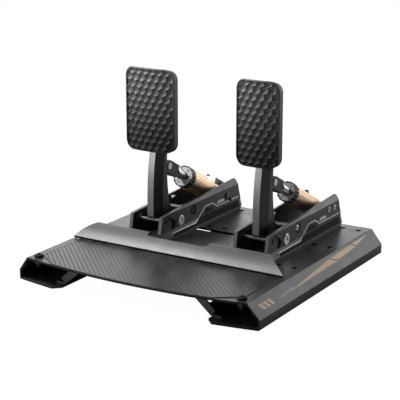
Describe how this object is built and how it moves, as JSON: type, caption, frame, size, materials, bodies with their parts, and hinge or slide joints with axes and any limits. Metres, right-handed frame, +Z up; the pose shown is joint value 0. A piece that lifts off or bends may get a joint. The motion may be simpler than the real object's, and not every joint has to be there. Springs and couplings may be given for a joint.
{
  "type": "driving simulator pedal set",
  "caption": "Brake and throttle pedals with spring and load-cell cylinders on a folded steel base with a heel plate and heel stop.",
  "frame": {"origin": "on the floor, under the middle of the base", "axes": "+X to the driver's right, +Y away from the driver, +Z up"},
  "size_m": [0.3288, 0.334, 0.2442],
  "materials": {
    "powder_coat": "satin powder coat",
    "ribbed_plate": "fine diagonal ribs",
    "satin_metal": "satin grey",
    "black_fastener": "black oxide",
    "bright_steel": "turned",
    "black_plastic": "fine grain",
    "circuit_board": "solder mask",
    "black_metal": "satin black",
    "bronze": "sintered",
    "magnet": "plated",
    "pad_rubber": "hexagon dimples",
    "elastomer": "smooth",
    "spring_steel": "drawn wire",
    "gold_anodised": "gold anodised, satin",
    "cell_aluminium": "anodised, satin"
  },
  "bodies": {
    "base": {"base_deck": "powder_coat", "rail_braces": "powder_coat", "heel_plate": "ribbed_plate", "heel_stop": "satin_metal", "heel_stop_ribs": "satin_metal", "deck_screws": "black_fastener", "corner_screws": "black_fastener", "bracket_bolts": "black_fastener", "deck_nuts": "black_fastener", "controller_case": "black_plastic", "controller_board": "circuit_board", "controller_sockets": "black_plastic", "brake_cheek_left": "powder_coat", "brake_cheek_right": "powder_coat", "throttle_cheek_left": "powder_coat", "throttle_cheek_right": "powder_coat", "bracket_floors": "powder_coat", "stop_rods": "bright_steel", "stop_rod_clips": "bright_steel", "pivot_shafts": "bright_steel", "pivot_caps": "bright_steel", "cheek_spacers": "bright_steel", "tie_bars": "bright_steel", "tie_bar_screws": "black_fastener", "rear_pins": "bright_steel", "cheek_rivets": "black_fastener", "angle_sensors": "black_plastic"},
    "brake_pedal": {"brake_arm": "black_metal", "brake_bushes": "bronze", "brake_magnet": "magnet", "brake_bumper": "pad_rubber", "brake_pad_plate": "black_metal", "brake_pad_bolts": "black_fastener", "brake_pad": "pad_rubber"},
    "brake_cylinder_body": {"brake_cylinder": "gold_anodised", "brake_face_disc": "bright_steel", "brake_end_cap": "gold_anodised", "brake_elastomers": "elastomer", "load_cell": "cell_aluminium"},
    "brake_rod": {"brake_fork": "black_metal", "brake_link_pin": "bright_steel", "brake_lock_nut": "bright_steel", "brake_push_rod": "bright_steel"},
    "brake_ring": {"brake_preload_ring": "black_metal"},
    "throttle_pedal": {"throttle_arm": "black_metal", "throttle_bushes": "bronze", "throttle_magnet": "magnet", "throttle_bumper": "pad_rubber", "throttle_pad_plate": "black_metal", "throttle_pad_bolts": "black_fastener", "throttle_pad": "pad_rubber"},
    "throttle_cylinder_body": {"throttle_cylinder": "gold_anodised", "throttle_face_disc": "bright_steel", "throttle_end_cap": "gold_anodised", "throttle_spring": "spring_steel"},
    "throttle_rod": {"throttle_fork": "black_metal", "throttle_link_pin": "bright_steel", "throttle_lock_nut": "bright_steel", "throttle_push_rod": "bright_steel"},
    "throttle_ring": {"throttle_preload_ring": "black_metal"}
  },
  "joints": [
    {"name": "brake_press", "type": "hinge", "parent": "base", "child": "brake_pedal", "pos_m": [-0.065, 0.0165, 0.0495], "axis": [-1, 0, 0], "range_deg": [0, 12], "stiffness_Nm_per_rad": 400, "springref_deg": -1.15},
    {"name": "brake_cylinder_swing", "type": "hinge", "parent": "base", "child": "brake_cylinder_body", "pos_m": [-0.065, 0.13, 0.0545], "axis": [-1, 0, 0], "range_deg": [0, 2.85]},
    {"name": "brake_rod_slide", "type": "slide", "parent": "brake_cylinder_body", "child": "brake_rod", "axis": [0, 0.8751, -0.484], "range_m": [0, 0.01291], "deforming": ["brake_elastomers"]},
    {"name": "brake_ring_turn", "type": "hinge", "parent": "brake_cylinder_body", "child": "brake_ring", "pos_m": [-0.065, 0.06338, 0.09135], "axis": [0, 0.8751, -0.484], "continuous": true},
    {"name": "throttle_press", "type": "hinge", "parent": "base", "child": "throttle_pedal", "pos_m": [0.0835, 0.0165, 0.0495], "axis": [-1, 0, 0], "range_deg": [0, 18], "stiffness_Nm_per_rad": 12, "springref_deg": -1.15},
    {"name": "throttle_cylinder_swing", "type": "hinge", "parent": "base", "child": "throttle_cylinder_body", "pos_m": [0.0835, 0.13, 0.0583], "axis": [-1, 0, 0], "range_deg": [0, 3.82]},
    {"name": "throttle_rod_slide", "type": "slide", "parent": "throttle_cylinder_body", "child": "throttle_rod", "axis": [0, 0.8874, -0.461], "range_m": [0, 0.01978], "deforming": ["throttle_spring"]},
    {"name": "throttle_ring_turn", "type": "hinge", "parent": "throttle_cylinder_body", "child": "throttle_ring", "pos_m": [0.0835, 0.06403, 0.09257], "axis": [0, 0.8874, -0.461], "continuous": true}
  ],
  "couplings": [
    {"joint": "brake_cylinder_swing", "follows": "brake_press", "ratio": 0.22925},
    {"joint": "brake_rod_slide", "follows": "brake_press", "m_per_rad": 0.061146},
    {"joint": "throttle_cylinder_swing", "follows": "throttle_press", "ratio": 0.2065},
    {"joint": "throttle_rod_slide", "follows": "throttle_press", "m_per_rad": 0.062659}
  ]
}
